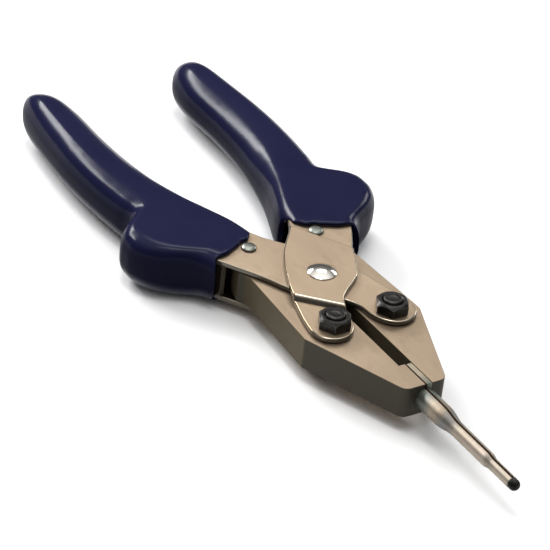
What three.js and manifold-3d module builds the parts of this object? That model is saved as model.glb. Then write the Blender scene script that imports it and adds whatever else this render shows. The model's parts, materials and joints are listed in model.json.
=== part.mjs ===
// Parallel-action pliers with long, slender half-round tips: two crossed sheet-metal levers in dipped vinyl
// grips carry two thick jaws, which stay parallel because each jaw's tail slot rides on a pin of the other lever.
// Millimetres. +X points to the tips, +Y to the left jaw, +Z up; modelled about the main pivot, closed.
import * as THREE from "three";
import { mergeVertices } from "three/addons/utils/BufferGeometryUtils.js";
import Module from "manifold-3d";

// Linkage: the jaw bolts and the guide pins lie on one circle about the main pivot.
const LINK_RADIUS = 21.7;
const BOLT_ANGLE = THREE.MathUtils.degToRad(23.7);
const PIN_ANGLE = THREE.MathUtils.degToRad(28.8);
const HALF_OPENING = THREE.MathUtils.degToRad(13);
const BOLT_AT = [LINK_RADIUS * Math.cos(BOLT_ANGLE), LINK_RADIUS * Math.sin(BOLT_ANGLE)];
const PIN_AT = [-LINK_RADIUS * Math.cos(PIN_ANGLE), LINK_RADIUS * Math.sin(PIN_ANGLE)];

// Stack of sheets, as heights above the mid-plane.
const JAW_HALF = 4.35;
const SHEET = 1.4;
const LOW_BOTTOM = 4.55;
const LOW_TOP = LOW_BOTTOM + SHEET;
const HIGH_BOTTOM = 6.1;
const HIGH_TOP = HIGH_BOTTOM + SHEET;
const WEB_FRONT = -15.5;
const CLEARANCE = 0.1;
const SEAT = 0.1;

// Jaws and tips.
const THROAT_HALF = 1.9;
const JAW_FRONT = 48.9;
const ROOT_REAR = 39.5;
const ROOT_HALF = 4.25;
const GROOVE_REAR = 44.5;
const SPLIT_HALF = 0.15;
const SHANK_RADIUS = 2.85;
const TIP_RISE = 0.3;
const WIRE_RADIUS = 0.8;
const NOSE_REAR = 86.2;
const NOSE_RADIUS = 1.5;
const TIP_END = 88.6;

// Fasteners.
const PIVOT_RADIUS = 2.5;
const PIVOT_SINK = 3.2;
const PIVOT_HEAD = 3.85;
const PIVOT_DOME = 1.0;
const PIN_RADIUS = 1.5;
const PIN_HEAD = 2.05;
const PIN_HEAD_HIGH = 0.9;
const BUSH_RADIUS = 3.6;
const BOLT_RADIUS = 2.5;
const BOLT_END = 9.55;
const HEX_FLATS = 8;
const HEX_CORNER = HEX_FLATS / Math.sqrt(3);
const NUT_HIGH = 3;
const HEAD_HIGH = 1.9;
const HEX_CHAMFER = 0.45;

// Grips.
const GRIP_HALF = 7.4;
const REAR_ROUNDNESS = 2.3;
const REAR_INNER_SHOULDER = 9.5;
const REAR_OUTER_SHOULDER = 6.5;
const FRONT_ROUNDNESS = 3.4;
const FRONT_SHOULDER = 6.3;
const BOXY_FROM = -62;
const BOXY_AT = -38;
const GRIP_GAP = 0.3;
const GRIP_STATIONS = 24;
const GRIP_SIDES = 20;

const FAR = 60;
const ROUND = 24;

const wasm = await Module();
wasm.setup();

// ---------------------------------------------------------------- solids

function bare(geometry) {
  const copy = new THREE.BufferGeometry();
  copy.setAttribute("position", geometry.getAttribute("position").clone());
  if (geometry.index) copy.setIndex(geometry.index.clone());
  return mergeVertices(copy, 1e-4);
}

function solidOf(geometry) {
  const merged = bare(geometry);
  const vertProperties = merged.getAttribute("position").array;
  const triVerts = new Uint32Array(merged.index.array);
  return new wasm.Manifold(new wasm.Mesh({ numProp: 3, vertProperties, triVerts }));
}

function geometryOf(solid) {
  const mesh = solid.getMesh();
  const geometry = new THREE.BufferGeometry();
  geometry.setAttribute("position", new THREE.BufferAttribute(mesh.vertProperties, 3));
  geometry.setIndex(new THREE.BufferAttribute(mesh.triVerts, 1));
  return geometry;
}

function join(...geometries) {
  return geometryOf(geometries.map(solidOf).reduce((all, next) => all.add(next)));
}

function cut(geometry, ...cutters) {
  return geometryOf(cutters.map(solidOf).reduce((all, next) => all.subtract(next), solidOf(geometry)));
}

function common(first, second) {
  return geometryOf(solidOf(first).intersect(solidOf(second)));
}

// Mirror image across the plane normal to an axis (0 = X, 1 = Y, 2 = Z), with its faces turned back out.
function mirrored(geometry, axis) {
  const copy = bare(geometry);
  const scale = [1, 1, 1];
  scale[axis] = -1;
  copy.scale(...scale);
  const corners = copy.index.array;
  for (let i = 0; i < corners.length; i += 3) {
    const held = corners[i + 1];
    corners[i + 1] = corners[i + 2];
    corners[i + 2] = held;
  }
  return copy;
}

// ---------------------------------------------------------------- basic shapes

function vectors(points) {
  return points.map(([x, y]) => new THREE.Vector2(x, y));
}

// A smooth line through a few points.
function smooth(points, steps) {
  const line = new THREE.CatmullRomCurve3(points.map(([x, y]) => new THREE.Vector3(x, y, 0)));
  return line.getPoints(steps).map((p) => [p.x, p.y]);
}

function arc([x, y], radius, from, to, steps) {
  return Array.from({ length: steps + 1 }, (_, i) => {
    const angle = THREE.MathUtils.degToRad(from + ((to - from) * i) / steps);
    return [x + radius * Math.cos(angle), y + radius * Math.sin(angle)];
  });
}

// An outline moved outwards by a small distance; it runs anticlockwise.
function grown(points, distance) {
  return points.map(([x, y], i) => {
    const before = points.at(i - 1);
    const after = points[(i + 1) % points.length];
    const dx = after[0] - before[0];
    const dy = after[1] - before[1];
    const scale = distance / Math.hypot(dx, dy);
    return [x + dy * scale, y - dx * scale];
  });
}

function prism(points, bottom, top) {
  const geometry = new THREE.ExtrudeGeometry(new THREE.Shape(vectors(points)), {
    depth: top - bottom,
    bevelEnabled: false,
  });
  return geometry.translate(0, 0, bottom);
}

function box(x0, x1, y0, y1, z0, z1) {
  const geometry = new THREE.BoxGeometry(x1 - x0, y1 - y0, z1 - z0);
  return geometry.translate((x0 + x1) / 2, (y0 + y1) / 2, (z0 + z1) / 2);
}

// A turned piece about a vertical axis at (x, y). The profile is [radius, height] pairs from axis to axis.
function turned(profile, [x, y], sides = ROUND) {
  const geometry = new THREE.LatheGeometry(vectors(profile), sides);
  return geometry.rotateX(Math.PI / 2).translate(x, y, 0);
}

// The same about the tool's long axis, from [radius, x] pairs.
function turnedAlongX(profile, sides = ROUND) {
  return new THREE.LatheGeometry(vectors(profile), sides).rotateZ(-Math.PI / 2);
}

function rod(radius, bottom, top, at, sides = ROUND) {
  return turned([[0, bottom], [radius, bottom], [radius, top], [0, top]], at, sides);
}

// ---------------------------------------------------------------- levers

// Plan of one lever, with its handle at +Y and its front pad at -Y, from the handle's end round the inner edge.
const LEVER_INNER_EDGE = [
  [-105.6, 25], [-103.6, 22.9], [-95, 21.9], [-84, 21.7], [-75, 21.2], [-65, 20.2], [-57, 18.7], [-50, 16.9],
  [-42.5, 13.9], [-34, 9.8], [-28, 7.1], [-23.9, 5], [-21.3, 3.4], [-16.2, -0.9], [-12.4, -3.9], [-7.4, -6.8],
  [-2.3, -9.2], [3.3, -11.5], [8, -12.7], [13, -14.1], [18, -15.1],
];
const LEVER_PAD = [
  [20.8, -15.2], [23.5, -14.2], [25.2, -11.7], [25.6, -9.2], [24.8, -6.6], [22.4, -4.2], [19, -2.8], [15.2, -2.3],
];
const LEVER_OUTER_EDGE = [
  [12.6, -1.1], [10.2, 0.9], [5.9, 6.6], [4.2, 8.4], [-0.8, 11.3], [-7, 14.4], [-17.9, 21.1], [-24, 23.6],
  [-32, 25.9], [-41, 26.9], [-50, 27.1], [-65, 28.6], [-75, 29.1], [-85, 28.8], [-95, 27.9], [-103.6, 26.8],
  [-105.6, 25],
];
const CHANNEL_MIDDLE = [[-3 * FAR, 24], [-84, 24], [-60, 22], [-45, 19], [-30, 13], [-12, 6], [FAR, 6]];
const LEVER_PLAN = smooth([...LEVER_INNER_EDGE, ...LEVER_PAD, ...LEVER_OUTER_EDGE], 84).slice(0, -1);

// Joggles of the outer lever, as the foot of each ramp: where it starts, and the way it runs.
const REAR_FOOT = [-23.2, 4.8];
const REAR_RUN = Math.atan2(10, 16.2);
const FRONT_FOOT = [6.8, -12];
const FRONT_RUN = Math.atan2(9.7, 9.4);
const JOGGLE_RAMP = 1.6;

// A slab that steps up from the low to the high level along a line: low on the line's left side.
function steppedSlab([x, y], run) {
  const side = [
    [-2 * FAR, LOW_BOTTOM], [0, LOW_BOTTOM], [JOGGLE_RAMP, HIGH_BOTTOM], [2 * FAR, HIGH_BOTTOM],
    [2 * FAR, HIGH_TOP], [JOGGLE_RAMP - 0.4, HIGH_TOP], [-0.4, LOW_TOP], [-2 * FAR, LOW_TOP],
  ];
  const slab = new THREE.ExtrudeGeometry(new THREE.Shape(vectors(side)), { depth: 4 * FAR, bevelEnabled: false });
  slab.translate(0, 0, -2 * FAR).rotateX(Math.PI / 2);
  return slab.rotateZ(run - Math.PI / 2).translate(x, y, 0);
}

function straightCheek() {
  return prism(LEVER_PLAN, LOW_BOTTOM, LOW_TOP);
}

// The outer lever's cheek lies low along the handle and at the pad, and high where it crosses the inner lever.
function joggledCheek() {
  const blank = prism(LEVER_PLAN, 0, 2 * HIGH_TOP);
  const behind = box(-3 * FAR, 0, -FAR, FAR, 0, 2 * HIGH_TOP);
  const ahead = box(0, FAR, -FAR, FAR, 0, 2 * HIGH_TOP);
  const rear = common(common(blank, behind), steppedSlab(REAR_FOOT, REAR_RUN));
  const front = common(common(blank, ahead), steppedSlab(FRONT_FOOT, FRONT_RUN + Math.PI));
  return join(rear, front);
}

// The channel's web, on the outer side of the handle, from its cut front edge to the handle's end.
function web() {
  const top = LOW_BOTTOM + SHEET / 2;
  const blank = prism(LEVER_PLAN, -top, top);
  const hollow = prism(grown(LEVER_PLAN, -SHEET), -FAR, FAR);
  const openSide = prism([...CHANNEL_MIDDLE, [FAR, -FAR], [-3 * FAR, -FAR]], -FAR, FAR);
  const ahead = box(WEB_FRONT, FAR, -FAR, FAR, -FAR, FAR);
  return cut(blank, hollow, openSide, ahead);
}

function lever(cheek, pivotHole) {
  const bolt = rod(BOLT_RADIUS + CLEARANCE, -FAR, FAR, [BOLT_AT[0], -BOLT_AT[1]]);
  const pin = rod(PIN_RADIUS + CLEARANCE, -FAR, FAR, PIN_AT, 24);
  const holed = cut(cheek, bolt, pin, pivotHole);
  return join(holed, mirrored(holed, 2), web());
}

function outerLever() {
  return lever(joggledCheek(), rod(PIVOT_RADIUS + CLEARANCE, 0, FAR, [0, 0]));
}

// The inner lever is the other hand, with straight cheeks whose pivot holes are sunk on the inside.
function innerLever() {
  const hole = turned(
    [
      [0, LOW_BOTTOM - SHEET], [PIVOT_SINK + CLEARANCE, LOW_BOTTOM - SHEET], [PIVOT_SINK + CLEARANCE, LOW_BOTTOM],
      [PIVOT_RADIUS + CLEARANCE, LOW_BOTTOM + 0.8], [PIVOT_RADIUS + CLEARANCE, FAR], [0, FAR],
    ],
    [0, 0],
  );
  return mirrored(lever(straightCheek(), hole), 1);
}

// ---------------------------------------------------------------- fasteners

// One rivet joins the two upper cheeks and its twin the two lower ones, so the throat between them stays open.
function pivotRivet() {
  const seat = HIGH_TOP + SEAT;
  const dome = arc([0, 0], 1, 0, 90, 4).map(([x, y]) => [PIVOT_HEAD * x, seat + 0.2 + PIVOT_DOME * y]);
  const foot = LOW_BOTTOM - 0.05;
  return turned(
    [
      [0, foot], [PIVOT_SINK, foot], [PIVOT_RADIUS, LOW_BOTTOM + 0.75], [PIVOT_RADIUS, seat], [PIVOT_HEAD, seat],
      ...dome.slice(0, -1), [0, seat + 0.2 + PIVOT_DOME],
    ],
    [0, 0],
  );
}

function guidePin(at) {
  const seat = LOW_TOP + SEAT;
  const top = seat + PIN_HEAD_HIGH;
  return turned(
    [
      [0, -top], [PIN_HEAD - 0.5, -top], [PIN_HEAD, -top + 0.4], [PIN_HEAD, -seat], [PIN_RADIUS, -seat],
      [PIN_RADIUS, seat], [PIN_HEAD, seat], [PIN_HEAD, top - 0.4], [PIN_HEAD - 0.5, top], [0, top],
    ],
    at,
    24,
  );
}

// A hexagon with its corners turned off on the outer face.
function hexagon(at, seat, face) {
  const [bottom, top] = face > seat ? [seat, face] : [face, seat];
  const block = new THREE.CylinderGeometry(HEX_CORNER, HEX_CORNER, top - bottom, 6);
  block.rotateX(Math.PI / 2).translate(at[0], at[1], (bottom + top) / 2);
  const reach = HEX_CORNER + 0.05;
  const slope = face - Math.sign(face) * HEX_CHAMFER;
  const skin = [[0, seat], [reach, seat], [reach, slope], [HEX_FLATS / 2 - 0.1, face], [0, face]];
  return common(block, turned(face > seat ? skin : skin.reverse(), at));
}

function jawBolt(at) {
  const seat = -LOW_TOP - SEAT;
  const shank = turned(
    [
      [0, seat - 1], [BOLT_RADIUS, seat - 1], [BOLT_RADIUS, BOLT_END - 0.4], [BOLT_RADIUS - 0.4, BOLT_END], [0, BOLT_END],
    ],
    at,
  );
  return join(hexagon(at, seat, seat - HEAD_HIGH), shank);
}

function jawNut(at) {
  const seat = LOW_TOP + SEAT;
  return cut(hexagon(at, seat, seat + NUT_HIGH), rod(BOLT_RADIUS + CLEARANCE, 0, FAR, at));
}

// The bush is a little longer than the jaw is thick, so the bolt clamps the lever's cheeks and not the jaw.
function jawBush(at) {
  const half = LOW_BOTTOM - 0.05;
  const bore = rod(BOLT_RADIUS + CLEARANCE, -FAR, FAR, at);
  return cut(rod(BUSH_RADIUS - CLEARANCE, -half, half, at), bore);
}

// ---------------------------------------------------------------- jaws and tips

// How far the guide pin travels in the jaw's slot, and the slope of the slot that keeps the jaws parallel.
const SLOT_SLOPE = (PIN_ANGLE - BOLT_ANGLE) / 2;
const SLOT_MEAN = (PIN_ANGLE + BOLT_ANGLE) / 2;
const SLOT_TRAVEL = 2 * LINK_RADIUS * (Math.cos(SLOT_MEAN) - Math.cos(SLOT_MEAN + HALF_OPENING));
const SLOT_HALF = PIN_RADIUS + CLEARANCE;
const TAIL_RADIUS = 4.3;

// Plan of the left jaw, from its nose round the outer side. Its inner side steps in to face beside the tip's root.
function jawPlan(face) {
  const nose = arc([JAW_FRONT - 2.6, 4.3], 2.6, 0, 65, 5);
  const outer = [[20.3, 17.55], [-8.7, 15.95], [-12.2, 17.4], [-15.6, 16.6]];
  const tail = arc(PIN_AT, TAIL_RADIUS, 110, 245, 8);
  const inner = [[-13.5, 4.2], [-10.5, THROAT_HALF]];
  const step = face < THROAT_HALF ? [[ROOT_REAR, THROAT_HALF], [ROOT_REAR, face]] : [];
  return [[JAW_FRONT, face], ...nose, ...outer, ...tail, ...inner, ...step];
}

function jawSlot() {
  const length = SLOT_TRAVEL + 2 * CLEARANCE;
  const ends = [...arc([0, 0], SLOT_HALF, 90, 270, 10), ...arc([length, 0], SLOT_HALF, -90, 90, 10)];
  const slot = prism(ends, -FAR, FAR).translate(-CLEARANCE, 0, 0);
  return slot.rotateZ(-SLOT_SLOPE).translate(PIN_AT[0], PIN_AT[1], 0);
}

function leftJaw(face) {
  const bore = rod(BUSH_RADIUS, -FAR, FAR, BOLT_AT);
  const grooveRadius = SHANK_RADIUS + CLEARANCE;
  const groove = turnedAlongX([[0, GROOVE_REAR], [grooveRadius, GROOVE_REAR], [grooveRadius, FAR], [0, FAR]]);
  groove.translate(0, 0, TIP_RISE);
  return cut(prism(jawPlan(face), -JAW_HALF, JAW_HALF), bore, jawSlot(), groove);
}

// Stepped round tip, whole: [radius, x] of the shank, the two tapers and the slender end.
const TIP_PROFILE = [
  [0, GROOVE_REAR + CLEARANCE], [SHANK_RADIUS, GROOVE_REAR + CLEARANCE], [SHANK_RADIUS, 58], [1.95, 62.4],
  [1.95, 76.6], [1.55, 78], [1.55, NOSE_REAR], [0, NOSE_REAR],
];
const NOSE_PROFILE = [
  [0, NOSE_REAR + CLEARANCE], [NOSE_RADIUS, NOSE_REAR + CLEARANCE],
  ...arc([0, TIP_END - NOSE_RADIUS], NOSE_RADIUS, 0, 90, 5).slice(0, -1), [0, TIP_END],
];

// The left half of a turned piece, split along the tool's middle.
function leftHalf(profile) {
  const side = box(0, 2 * FAR, SPLIT_HALF, FAR, -FAR, FAR);
  return common(turnedAlongX(profile), side).translate(0, 0, TIP_RISE);
}

// A half tip has half of the wire's bore along the split.
function leftTip() {
  const bore = turnedAlongX([[0, 0], [WIRE_RADIUS, 0], [WIRE_RADIUS, 2 * FAR], [0, 2 * FAR]], 16);
  return cut(leftHalf(TIP_PROFILE), bore.translate(0, 0, TIP_RISE));
}

// The left jaw's tip also has a flat root that fills the throat up to the other jaw.
function rootedLeftTip() {
  const root = box(ROOT_REAR + CLEARANCE, JAW_FRONT, SPLIT_HALF, THROAT_HALF - CLEARANCE, -ROOT_HALF, ROOT_HALF);
  const bore = turnedAlongX([[0, 0], [WIRE_RADIUS, 0], [WIRE_RADIUS, GROOVE_REAR + 1], [0, GROOVE_REAR + 1]], 16);
  return join(cut(root, bore.translate(0, 0, TIP_RISE)), leftTip());
}

// ---------------------------------------------------------------- grips

// Plan of the outer lever's grip, as the y of its inner and outer side along x.
const GRIP_INNER_SIDE = [
  [-115.2, 24.6], [-114.2, 22.3], [-111.6, 20], [-107, 18], [-98, 16.8], [-84, 16.8], [-70, 15.9], [-57, 13.8],
  [-47, 11.7], [-40, 9.3], [-33, 6.5], [-27, 5], [-20, 3.2], [-10, 0.5],
];
const GRIP_OUTER_SIDE = [
  [-115.2, 24.6], [-114.4, 26.8], [-111, 29], [-104, 30.5], [-92, 31.8], [-78, 32.7], [-64, 32.3], [-54, 31.1],
  [-49.4, 30.2], [-46.2, 30.4], [-43.6, 33], [-41, 36.1], [-38, 37.9], [-34, 38.2], [-29, 36.3], [-25.5, 33],
  [-23, 29.2], [-20.8, 25.8], [-18.6, 24.1], [-16.5, 23.1], [-10, 20],
];
// Front edge over the cheeks, and the way it passes round the guide pin.
const GRIP_FRONT = [
  [-36, -20], [-30.5, 2], [-29, 6.2], [-24.6, 6.6], [-21.8, 9], [-20.2, 13.2], [-18.2, 17], [-17.4, 21.5],
  [-14.6, 22.6], [-10, 26],
];

function heightAt(line, x) {
  const next = line.findIndex((point) => point[0] >= x);
  if (next <= 0) return line[next < 0 ? line.length - 1 : 0][1];
  const [x0, y0] = line[next - 1];
  const [x1, y1] = line[next];
  return y0 + ((y1 - y0) * (x - x0)) / (x1 - x0);
}

// Closed surface through equal rings of points, with a flat cap on each end.
function loft(rings) {
  const sides = rings[0].length;
  const points = rings.flat();
  const faces = [];
  for (let r = 0; r + 1 < rings.length; r++) {
    for (let s = 0; s < sides; s++) {
      const a = r * sides + s;
      const b = r * sides + ((s + 1) % sides);
      faces.push(a, b, b + sides, a, b + sides, a + sides);
    }
  }
  const last = (rings.length - 1) * sides;
  for (let s = 1; s + 1 < sides; s++) {
    faces.push(0, s + 1, s);
    faces.push(last, last + s, last + s + 1);
  }
  const geometry = new THREE.BufferGeometry();
  geometry.setAttribute("position", new THREE.Float32BufferAttribute(points.flat(), 3));
  geometry.setIndex(faces);
  return geometry;
}

// Section of the grip across x: boxy over the cheeks, rounder behind them, and fading to the handle's end.
function gripRing(x, inner, outer) {
  const end = GRIP_OUTER_SIDE[0][0];
  const boxy = THREE.MathUtils.smoothstep(x, BOXY_FROM, BOXY_AT);
  const fade = Math.min(1, (x - end) / 11);
  const half = GRIP_HALF * Math.pow(1 - Math.pow(1 - fade, 2.4), 1 / 2.4);
  const y0 = heightAt(inner, x);
  const y1 = heightAt(outer, x);
  const most = (y1 - y0) * 0.6;
  const innerShoulder = Math.min(most, THREE.MathUtils.lerp(REAR_INNER_SHOULDER, FRONT_SHOULDER, boxy));
  const outerShoulder = Math.min(y1 - y0 - innerShoulder, THREE.MathUtils.lerp(REAR_OUTER_SHOULDER, FRONT_SHOULDER, boxy));
  const power = 2 / THREE.MathUtils.lerp(REAR_ROUNDNESS, FRONT_ROUNDNESS, boxy);
  return Array.from({ length: GRIP_SIDES }, (_, i) => {
    const angle = (2 * Math.PI * (i + 0.5)) / GRIP_SIDES;
    const c = Math.cos(angle);
    const s = Math.sin(angle);
    const reach = Math.pow(Math.abs(c), power);
    const y = c > 0 ? y1 - outerShoulder * (1 - reach) : y0 + innerShoulder * (1 - reach);
    const up = Math.sign(s) * Math.pow(Math.abs(s), power);
    return [x, y, half * up];
  });
}

function gripBody() {
  const inner = smooth(GRIP_INNER_SIDE, 120);
  const outer = smooth(GRIP_OUTER_SIDE, 120);
  const rear = GRIP_OUTER_SIDE[0][0] + 0.15;
  const front = GRIP_OUTER_SIDE.at(-1)[0];
  const rings = Array.from({ length: GRIP_STATIONS + 1 }, (_, i) => {
    const along = Math.pow(i / GRIP_STATIONS, 1.25);
    return gripRing(rear + (front - rear) * along, inner, outer);
  });
  return loft(rings);
}

// A dipped sleeve: open over the channel at the front, solid in the finger guard.
function outerGrip() {
  const handle = grown(LEVER_PLAN, GRIP_GAP).filter(([x, y]) => x < -10 && y > -6);
  const pocket = prism(handle, -LOW_TOP - GRIP_GAP, LOW_TOP + GRIP_GAP);
  const mouth = prism([...GRIP_FRONT, [FAR, 26], [FAR, -20]], -FAR, FAR);
  const pinRoom = rod(PIN_HEAD + GRIP_GAP, -FAR, FAR, PIN_AT, 24);
  return cut(gripBody(), pocket, mouth, pinRoom);
}

// ---------------------------------------------------------------- assembly

const plated = new THREE.MeshStandardMaterial({ color: 0xbba993, roughness: 0.38, metalness: 1 });
const steel = new THREE.MeshStandardMaterial({ color: 0x98908a, roughness: 0.35, metalness: 1 });
const polished = new THREE.MeshStandardMaterial({ color: 0xd8d4cc, roughness: 0.15, metalness: 1 });
const pinSteel = new THREE.MeshStandardMaterial({ color: 0x7c7c72, roughness: 0.4, metalness: 1 });
const blackOxide = new THREE.MeshStandardMaterial({ color: 0x24221f, roughness: 0.45, metalness: 0.6 });
const bronze = new THREE.MeshStandardMaterial({ color: 0x9a7440, roughness: 0.5, metalness: 1 });
const vinyl = new THREE.MeshStandardMaterial({ color: 0x20204c, roughness: 0.3, metalness: 0 });

function part(name, geometry, material) {
  const mesh = new THREE.Mesh(geometry, material);
  mesh.name = name;
  return mesh;
}

function group(...children) {
  const made = new THREE.Group();
  made.add(...children);
  return made;
}

// What one lever's bolt holds: sign is +1 at the left jaw and -1 at the right one.
function jawFasteners(side, sign) {
  const at = [BOLT_AT[0], sign * BOLT_AT[1]];
  return [
    part(side + "_jaw_bolt", jawBolt(at), blackOxide),
    part(side + "_jaw_nut", jawNut(at), blackOxide),
    part(side + "_jaw_bush", jawBush(at), bronze),
  ];
}

function leftJawAssembly() {
  return group(
    part("left_jaw", leftJaw(THROAT_HALF), plated),
    part("left_tip", rootedLeftTip(), steel),
    part("left_nose", leftHalf(NOSE_PROFILE), blackOxide),
  );
}

function rightJawAssembly() {
  return group(
    part("right_jaw", mirrored(leftJaw(SPLIT_HALF), 1), plated),
    part("right_tip", mirrored(leftTip(), 1), steel),
    part("right_nose", mirrored(leftHalf(NOSE_PROFILE), 1), blackOxide),
  );
}

function innerLeverAssembly() {
  return group(
    part("inner_lever", innerLever(), plated),
    part("inner_grip", mirrored(outerGrip(), 1), vinyl),
    part("inner_guide_pin", guidePin([PIN_AT[0], -PIN_AT[1]]), pinSteel),
    part("upper_pivot_rivet", pivotRivet(), polished),
    part("lower_pivot_rivet", mirrored(pivotRivet(), 2), polished),
    ...jawFasteners("left", 1),
  );
}

function outerLeverAssembly() {
  return group(
    part("outer_lever", outerLever(), plated),
    part("outer_grip", outerGrip(), vinyl),
    part("outer_guide_pin", guidePin(PIN_AT), pinSteel),
    ...jawFasteners("right", -1),
  );
}

const pliers = group(
  innerLeverAssembly(),
  outerLeverAssembly(),
  leftJawAssembly(),
  rightJawAssembly(),
);

// The part's origin is the centre of its box in plan, at its lowest point.
const extent = new THREE.Box3().setFromObject(pliers);
const centre = extent.getCenter(new THREE.Vector3());
pliers.position.set(-centre.x, -centre.y, -extent.min.z);

export default group(pliers);
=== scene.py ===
"""Looks of the parallel-action pliers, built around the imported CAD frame. Metres, +X to the tips, +Z up."""
import json
import math

import bmesh
import bpy
from mathutils import Matrix, Vector


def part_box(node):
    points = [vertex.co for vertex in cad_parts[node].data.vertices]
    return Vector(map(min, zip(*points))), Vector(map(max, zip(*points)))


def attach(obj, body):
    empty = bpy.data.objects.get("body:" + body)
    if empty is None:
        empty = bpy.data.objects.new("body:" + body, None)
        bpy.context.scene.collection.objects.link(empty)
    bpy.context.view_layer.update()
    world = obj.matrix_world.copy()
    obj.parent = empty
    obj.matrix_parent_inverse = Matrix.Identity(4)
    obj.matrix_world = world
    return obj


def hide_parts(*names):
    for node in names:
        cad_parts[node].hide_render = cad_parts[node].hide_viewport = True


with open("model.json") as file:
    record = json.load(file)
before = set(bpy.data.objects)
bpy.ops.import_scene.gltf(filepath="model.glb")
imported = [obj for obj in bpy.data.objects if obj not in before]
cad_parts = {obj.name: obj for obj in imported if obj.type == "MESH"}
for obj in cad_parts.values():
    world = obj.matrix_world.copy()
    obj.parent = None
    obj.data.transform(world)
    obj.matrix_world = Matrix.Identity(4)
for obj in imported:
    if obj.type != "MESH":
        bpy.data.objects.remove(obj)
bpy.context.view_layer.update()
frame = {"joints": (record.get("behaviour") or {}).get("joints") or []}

MM = 0.001
JOINTS = {joint["name"]: joint for joint in frame["joints"]}
PIVOT = Vector(JOINTS["lever_pivot"]["pos_m"])
INNER, OUTER = "inner_lever_body", "outer_lever_body"
JAW_BODY = {"left": "left_jaw_body", "right": "right_jaw_body"}
LEVER_OF_JAW = {"left": INNER, "right": OUTER}


def from_pivot(point):
    """A point of the row frame, in millimetres from the main pivot."""
    return (Vector(point) - PIVOT) / MM


BOLT_AT = from_pivot(JOINTS["left_jaw_pivot"]["pos_m"])
PIN_LOW, PIN_HIGH = (from_pivot(corner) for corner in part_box("outer_guide_pin"))
PIN_AT = (PIN_LOW + PIN_HIGH) / 2
JAW_LOW, JAW_HIGH = (from_pivot(corner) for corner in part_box("left_jaw"))
INNER_LEVER_TOP = from_pivot(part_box("inner_lever")[1]).z
OUTER_LEVER_TOP = from_pivot(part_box("outer_lever")[1]).z
SHEET = 1.4
CLEARANCE = 0.1
FLIP_Y = Matrix.Scale(-1, 4, Vector((0, 1, 0)))
FLIP_Z = Matrix.Scale(-1, 4, Vector((0, 0, 1)))

# ---------------------------------------------------------------- camera

CAMERA_AZIMUTH, CAMERA_ELEVATION, CAMERA_ROLL = -35.323, 33.26, 6.752
CAMERA_DISTANCE = 709.58 * MM
CAMERA_TARGET = PIVOT + Vector((-12.926, -5.412, 0)) * MM
CAMERA_LENS, SENSOR = 177.47, 36


def make_camera():
    azimuth, elevation, roll = (math.radians(a) for a in (CAMERA_AZIMUTH, CAMERA_ELEVATION, CAMERA_ROLL))
    level = math.cos(elevation)
    back = Vector((math.cos(azimuth) * level, math.sin(azimuth) * level, math.sin(elevation)))
    right = Vector((0, 0, 1)).cross(back).normalized()
    up = back.cross(right)
    turned_right = right * math.cos(roll) + up * math.sin(roll)
    turned_up = up * math.cos(roll) - right * math.sin(roll)
    data = bpy.data.cameras.new("camera")
    data.sensor_width = SENSOR
    data.lens = CAMERA_LENS
    data.clip_start = 0.01
    camera = bpy.data.objects.new("camera", data)
    turn = Matrix((turned_right, turned_up, back)).transposed().to_4x4()
    camera.matrix_world = Matrix.Translation(CAMERA_TARGET + back * CAMERA_DISTANCE) @ turn
    bpy.context.scene.collection.objects.link(camera)
    bpy.context.scene.camera = camera


# ---------------------------------------------------------------- meshes


def link(name, mesh):
    piece = bpy.data.objects.new(name, mesh)
    bpy.context.scene.collection.objects.link(piece)
    return piece


def evaluated(piece):
    """The piece's mesh with its modifiers applied, as a new mesh."""
    graph = bpy.context.evaluated_depsgraph_get()
    return bpy.data.meshes.new_from_object(piece.evaluated_get(graph))


def remove(piece):
    data = piece.data
    bpy.data.objects.remove(piece)
    if isinstance(data, bpy.types.Mesh):
        bpy.data.meshes.remove(data)
    else:
        bpy.data.curves.remove(data)


def baked(piece):
    """Applies the piece's modifiers to its own mesh."""
    mesh = evaluated(piece)
    piece.modifiers.clear()
    old = piece.data
    piece.data = mesh
    bpy.data.meshes.remove(old)
    return piece


def with_boolean(piece, operation, *tools):
    for tool in tools:
        modifier = piece.modifiers.new("boolean", "BOOLEAN")
        modifier.operation = operation
        modifier.solver = "EXACT"
        modifier.object = tool
        baked(piece)
        remove(tool)
    return piece


def cut(piece, *tools):
    return with_boolean(piece, "DIFFERENCE", *tools)


def joined(piece, *tools):
    return with_boolean(piece, "UNION", *tools)


def edit(piece, change):
    """Runs change(bm) on the piece's mesh."""
    bm = bmesh.new()
    bm.from_mesh(piece.data)
    change(bm)
    bm.to_mesh(piece.data)
    bm.free()
    piece.data.update()
    return piece


def transformed(piece, matrix):
    piece.data.transform(matrix)
    if matrix.determinant() < 0:
        piece.data.flip_normals()
    piece.data.update()
    return piece


def copy_of(piece, name):
    return link(name, piece.data.copy())


def smooth_line(points, steps, closed=False):
    """A smooth line through a few points, as a Catmull-Rom curve with even knots."""
    count = len(points)
    spans = count if closed else count - 1
    line = []
    for i in range(spans):
        if closed:
            a, b, c, d = (Vector(points[(i + k) % count]) for k in (-1, 0, 1, 2))
        else:
            a, b, c, d = (Vector(points[min(max(i + k, 0), count - 1)]) for k in (-1, 0, 1, 2))
        for step in range(steps):
            t = step / steps
            line.append(
                b + (c - a) * (t / 2) + (a * 2 - b * 5 + c * 4 - d) * (t * t / 2)
                + (b * 3 - a - c * 3 + d) * (t**3 / 2)
            )
    if not closed:
        line.append(Vector(points[-1]))
    return line


def arc(centre, radius, start, stop, steps):
    """Points of an arc, with its angles in degrees."""
    angles = [math.radians(start + (stop - start) * i / steps) for i in range(steps + 1)]
    return [Vector((centre[0] + radius * math.cos(a), centre[1] + radius * math.sin(a))) for a in angles]


def circle(centre, radius, steps=64):
    return arc(centre, radius, 0, 360, steps)[:-1]


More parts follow.
